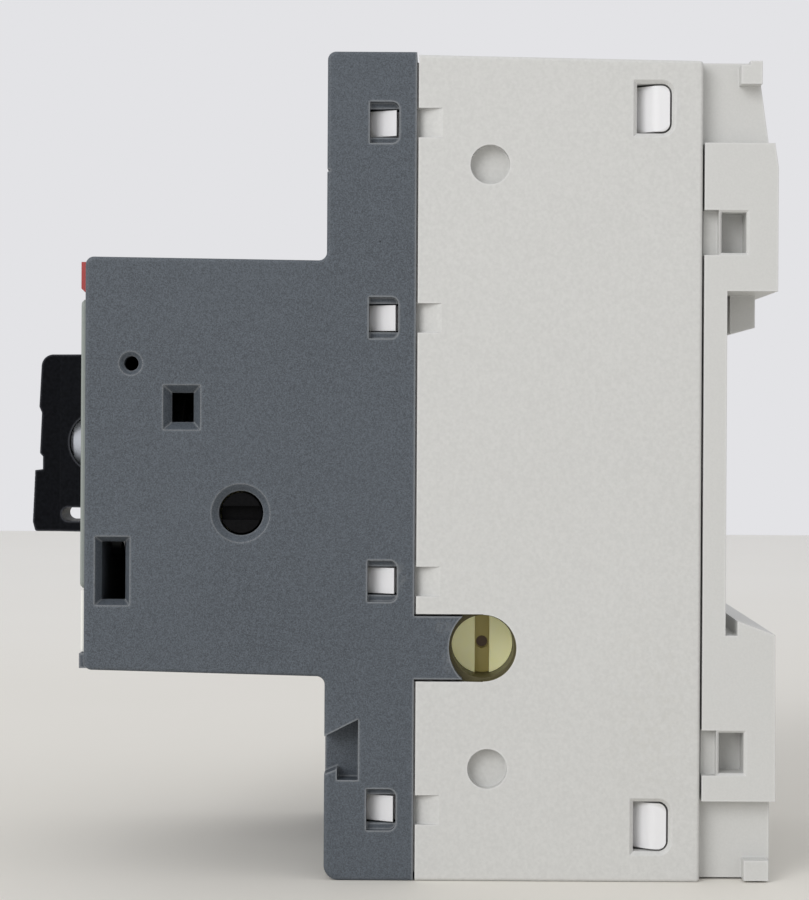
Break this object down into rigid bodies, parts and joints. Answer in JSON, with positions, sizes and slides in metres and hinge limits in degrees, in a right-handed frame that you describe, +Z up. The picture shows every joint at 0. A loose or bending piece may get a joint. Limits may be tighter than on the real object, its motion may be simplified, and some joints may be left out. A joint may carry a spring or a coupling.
{
  "type": "motor protection breaker",
  "caption": "Rail-mounted manual motor starter with a rotary knob, stepped dark cover, light housing, screw terminals, overload and short-circuit releases.",
  "frame": {"origin": "centre line of the 35 mm rail, on the face that seats on the rail, at mid-width", "axes": "+X to the device's right-hand side as seen from the front, +Y from the front to the rail, +Z up"},
  "size_m": [0.045, 0.084, 0.09],
  "materials": {
    "cover_plastic": "fine moulded grain",
    "housing_plastic": "fine moulded grain",
    "base_plastic": "satin moulded",
    "spring_steel": "bright drawn wire",
    "knob_plastic": "satin moulded",
    "shaft_plastic": "smooth nylon",
    "plate_plastic": "satin moulded",
    "badge_red": "printed film",
    "marker_white": "smooth moulded",
    "dial_plastic": "smooth moulded",
    "test_plastic": "smooth moulded",
    "black_plastic": "satin moulded",
    "coupler_cream": "smooth nylon",
    "inner_plastic": "smooth moulded",
    "plated_steel": "zinc plated",
    "copper": "tin free, rolled",
    "chute_steel": "rolled sheet",
    "coil_wire": "enamelled winding",
    "bimetal_strip": "rolled strip",
    "heater_ribbon": "oxidised ribbon",
    "screw_steel": "zinc plated",
    "cage_steel": "zinc plated"
  },
  "bodies": {
    "casing": {"main_housing": "housing_plastic", "front_cover": "cover_plastic", "rear_mounting_base": "base_plastic", "front_plate": "plate_plastic", "red_badge": "badge_red", "marker_plate": "marker_white", "test_spring": "spring_steel", "mechanism_frame": "plated_steel", "mechanism_pins": "plated_steel", "latch_spring": "spring_steel", "opening_spring": "spring_steel", "line_contact_bars": "copper", "inner_contact_bars": "copper", "load_bars": "copper", "arc_chutes": "chute_steel", "magnet_yokes": "plated_steel", "magnet_coil_1": "coil_wire", "plunger_spring_1": "spring_steel", "magnet_coil_2": "coil_wire", "plunger_spring_2": "spring_steel", "magnet_coil_3": "coil_wire", "plunger_spring_3": "spring_steel"},
    "knob": {"rotary_knob": "knob_plastic", "knob_shaft": "shaft_plastic"},
    "toggle": {"toggle_lever": "plated_steel"},
    "dial": {"setting_dial": "dial_plastic"},
    "carrier": {"contact_carrier": "black_plastic", "contact_springs": "spring_steel", "moving_contact_1": "copper", "moving_contact_2": "copper", "moving_contact_3": "copper"},
    "coupler": {"switch_coupler": "coupler_cream"},
    "test": {"test_plunger": "test_plastic"},
    "trip": {"trip_bar": "black_plastic"},
    "latch": {"latch_lever": "plated_steel"},
    "slider": {"trip_slider": "inner_plastic"},
    "compensator": {"compensator_lever": "inner_plastic"},
    "rail_bow": {"rail_spring": "spring_steel"},
    "plunger_1": {"magnet_plunger_1": "plated_steel"},
    "bimetal_1": {"bimetal_1": "bimetal_strip", "heater_1": "heater_ribbon"},
    "line_screw_1": {"line_screw_1": "screw_steel"},
    "line_cage_1": {"line_cage_1": "cage_steel"},
    "load_screw_1": {"load_screw_1": "screw_steel"},
    "load_cage_1": {"load_cage_1": "cage_steel"},
    "plunger_2": {"magnet_plunger_2": "plated_steel"},
    "bimetal_2": {"bimetal_2": "bimetal_strip", "heater_2": "heater_ribbon"},
    "line_screw_2": {"line_screw_2": "screw_steel"},
    "line_cage_2": {"line_cage_2": "cage_steel"},
    "load_screw_2": {"load_screw_2": "screw_steel"},
    "load_cage_2": {"load_cage_2": "cage_steel"},
    "plunger_3": {"magnet_plunger_3": "plated_steel"},
    "bimetal_3": {"bimetal_3": "bimetal_strip", "heater_3": "heater_ribbon"},
    "line_screw_3": {"line_screw_3": "screw_steel"},
    "line_cage_3": {"line_cage_3": "cage_steel"},
    "load_screw_3": {"load_screw_3": "screw_steel"},
    "load_cage_3": {"load_cage_3": "cage_steel"}
  },
  "joints": [
    {"name": "knob_turn", "type": "hinge", "parent": "casing", "child": "knob", "pos_m": [0, -0.071, 0.0024], "axis": [0, -1, 0], "range_deg": [0, 90]},
    {"name": "toggle_swing", "type": "hinge", "parent": "casing", "child": "toggle", "pos_m": [0, -0.046, 0.006], "axis": [1, 0, 0], "range_deg": [0, 28]},
    {"name": "carrier_slide", "type": "slide", "parent": "casing", "child": "carrier", "axis": [0, -1, 0], "range_m": [0, 0.004], "deforming": ["opening_spring"]},
    {"name": "coupler_turn", "type": "hinge", "parent": "casing", "child": "coupler", "pos_m": [0.016, -0.0265, -0.0197], "axis": [1, 0, 0], "range_deg": [0, 25]},
    {"name": "dial_turn", "type": "hinge", "parent": "casing", "child": "dial", "pos_m": [-0.012, -0.07, -0.0086], "axis": [0, -1, 0], "range_deg": [-120, 120]},
    {"name": "test_push", "type": "slide", "parent": "casing", "child": "test", "axis": [0, 1, 0], "range_m": [0, 0.0015], "stiffness_N_per_m": 300, "springref_m": -0.001, "deforming": ["test_spring"]},
    {"name": "trip_turn", "type": "hinge", "parent": "casing", "child": "trip", "pos_m": [0, -0.0529, -0.0052], "axis": [1, 0, 0], "range_deg": [0, 7]},
    {"name": "latch_lift", "type": "hinge", "parent": "casing", "child": "latch", "pos_m": [0, -0.044, -0.0012], "axis": [-1, 0, 0], "range_deg": [0, 8], "deforming": ["latch_spring"]},
    {"name": "overload_slide", "type": "slide", "parent": "casing", "child": "slider", "axis": [-1, 0, 0], "range_m": [0, 0.0015], "stiffness_N_per_m": 200, "springref_m": -0.0005},
    {"name": "compensator_swing", "type": "hinge", "parent": "casing", "child": "compensator", "pos_m": [-0.0176, -0.046, -0.0175], "axis": [0, 0, 1], "range_deg": [0, 2.8]},
    {"name": "rail_bow_flatten", "type": "slide", "parent": "casing", "child": "rail_bow", "axis": [0, 0, 1], "range_m": [0, 0.0012], "stiffness_N_per_m": 2000, "springref_m": -0.0002, "deforming": ["rail_spring"]},
    {"name": "bimetal_bend_1", "type": "hinge", "parent": "casing", "child": "bimetal_1", "pos_m": [-0.01445, -0.0145, -0.0406], "axis": [0, -1, 0], "range_deg": [0, 3.2]},
    {"name": "bimetal_bend_2", "type": "hinge", "parent": "casing", "child": "bimetal_2", "pos_m": [-0.00045, -0.0145, -0.0406], "axis": [0, -1, 0], "range_deg": [0, 3.2]},
    {"name": "bimetal_bend_3", "type": "hinge", "parent": "casing", "child": "bimetal_3", "pos_m": [0.01355, -0.0145, -0.0406], "axis": [0, -1, 0], "range_deg": [0, 3.2]},
    {"name": "plunger_jump_1", "type": "slide", "parent": "casing", "child": "plunger_1", "axis": [0, 0, 1], "range_m": [0, 0.002], "stiffness_N_per_m": 60, "springref_m": -0.0005, "deforming": ["plunger_spring_1"]},
    {"name": "plunger_jump_2", "type": "slide", "parent": "casing", "child": "plunger_2", "axis": [0, 0, 1], "range_m": [0, 0.002], "stiffness_N_per_m": 60, "springref_m": -0.0005, "deforming": ["plunger_spring_2"]},
    {"name": "plunger_jump_3", "type": "slide", "parent": "casing", "child": "plunger_3", "axis": [0, 0, 1], "range_m": [0, 0.002], "stiffness_N_per_m": 60, "springref_m": -0.0005, "deforming": ["plunger_spring_3"]},
    {"name": "line_screw_turn_1", "type": "hinge", "parent": "casing", "child": "line_screw_1", "pos_m": [-0.014, -0.0402, 0.034], "axis": [0, 1, 0], "range_deg": [0, 1800]},
    {"name": "line_cage_lift_1", "type": "slide", "parent": "casing", "child": "line_cage_1", "axis": [0, -1, 0], "range_m": [0, 0.003]},
    {"name": "line_screw_turn_2", "type": "hinge", "parent": "casing", "child": "line_screw_2", "pos_m": [0, -0.0402, 0.034], "axis": [0, 1, 0], "range_deg": [0, 1800]},
    {"name": "line_cage_lift_2", "type": "slide", "parent": "casing", "child": "line_cage_2", "axis": [0, -1, 0], "range_m": [0, 0.003]},
    {"name": "line_screw_turn_3", "type": "hinge", "parent": "casing", "child": "line_screw_3", "pos_m": [0.014, -0.0402, 0.034], "axis": [0, 1, 0], "range_deg": [0, 1800]},
    {"name": "line_cage_lift_3", "type": "slide", "parent": "casing", "child": "line_cage_3", "axis": [0, -1, 0], "range_m": [0, 0.003]},
    {"name": "load_screw_turn_1", "type": "hinge", "parent": "casing", "child": "load_screw_1", "pos_m": [-0.014, -0.0402, -0.034], "axis": [0, 1, 0], "range_deg": [0, 1800]},
    {"name": "load_cage_lift_1", "type": "slide", "parent": "casing", "child": "load_cage_1", "axis": [0, -1, 0], "range_m": [0, 0.003]},
    {"name": "load_screw_turn_2", "type": "hinge", "parent": "casing", "child": "load_screw_2", "pos_m": [0, -0.0402, -0.034], "axis": [0, 1, 0], "range_deg": [0, 1800]},
    {"name": "load_cage_lift_2", "type": "slide", "parent": "casing", "child": "load_cage_2", "axis": [0, -1, 0], "range_m": [0, 0.003]},
    {"name": "load_screw_turn_3", "type": "hinge", "parent": "casing", "child": "load_screw_3", "pos_m": [0.014, -0.0402, -0.034], "axis": [0, 1, 0], "range_deg": [0, 1800]},
    {"name": "load_cage_lift_3", "type": "slide", "parent": "casing", "child": "load_cage_3", "axis": [0, -1, 0], "range_m": [0, 0.003]}
  ],
  "couplings": [
    {"joint": "knob_turn", "follows": "carrier_slide", "rad_per_m": 392.69},
    {"joint": "toggle_swing", "follows": "carrier_slide", "rad_per_m": 122.17},
    {"joint": "coupler_turn", "follows": "carrier_slide", "rad_per_m": 109.08},
    {"joint": "trip_turn", "follows": "test_push", "rad_per_m": 81.332},
    {"joint": "latch_lift", "follows": "test_push", "rad_per_m": 92.968},
    {"joint": "compensator_swing", "follows": "overload_slide", "rad_per_m": 31.546},
    {"joint": "bimetal_bend_1", "follows": "overload_slide", "rad_per_m": 35.587},
    {"joint": "bimetal_bend_2", "follows": "overload_slide", "rad_per_m": 35.587},
    {"joint": "bimetal_bend_3", "follows": "overload_slide", "rad_per_m": 35.587},
    {"joint": "line_screw_turn_1", "follows": "line_cage_lift_1", "rad_per_m": 10472},
    {"joint": "line_screw_turn_2", "follows": "line_cage_lift_2", "rad_per_m": 10472},
    {"joint": "line_screw_turn_3", "follows": "line_cage_lift_3", "rad_per_m": 10472},
    {"joint": "load_screw_turn_1", "follows": "load_cage_lift_1", "rad_per_m": 10472},
    {"joint": "load_screw_turn_2", "follows": "load_cage_lift_2", "rad_per_m": 10472},
    {"joint": "load_screw_turn_3", "follows": "load_cage_lift_3", "rad_per_m": 10472}
  ]
}
